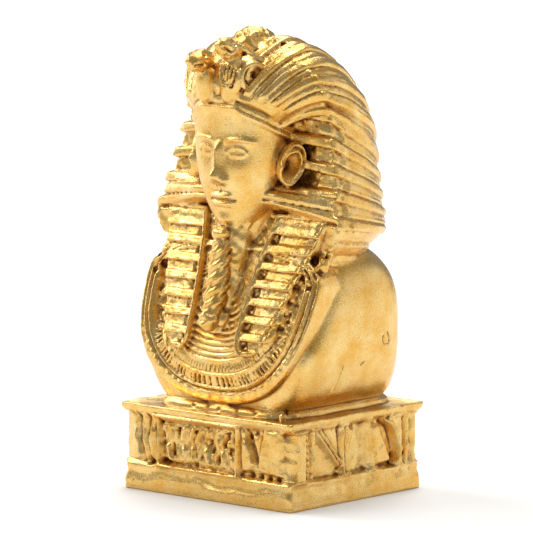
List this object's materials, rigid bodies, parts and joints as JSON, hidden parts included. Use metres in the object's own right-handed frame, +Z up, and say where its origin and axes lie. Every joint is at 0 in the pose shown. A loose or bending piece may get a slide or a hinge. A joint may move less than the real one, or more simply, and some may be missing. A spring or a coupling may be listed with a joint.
{
  "type": "pharaoh bust figurine",
  "caption": "Small cast-resin souvenir bust of a pharaoh in a striped headcloth, with a broad collar and plaited beard, in one piece with its rectangular plinth, painted metallic gold.",
  "frame": {"origin": "middle of the plinth's flat underside", "axes": "+Z up, the face looks along -Y, +X is the figure's left"},
  "size_m": [0.0499, 0.0419, 0.0955],
  "materials": {
    "gold_paint": "metallic gold paint over cast resin, satin, with fine grain and darker recesses"
  },
  "bodies": {
    "root": {"pharaoh_bust": "gold_paint"}
  },
  "joints": []
}
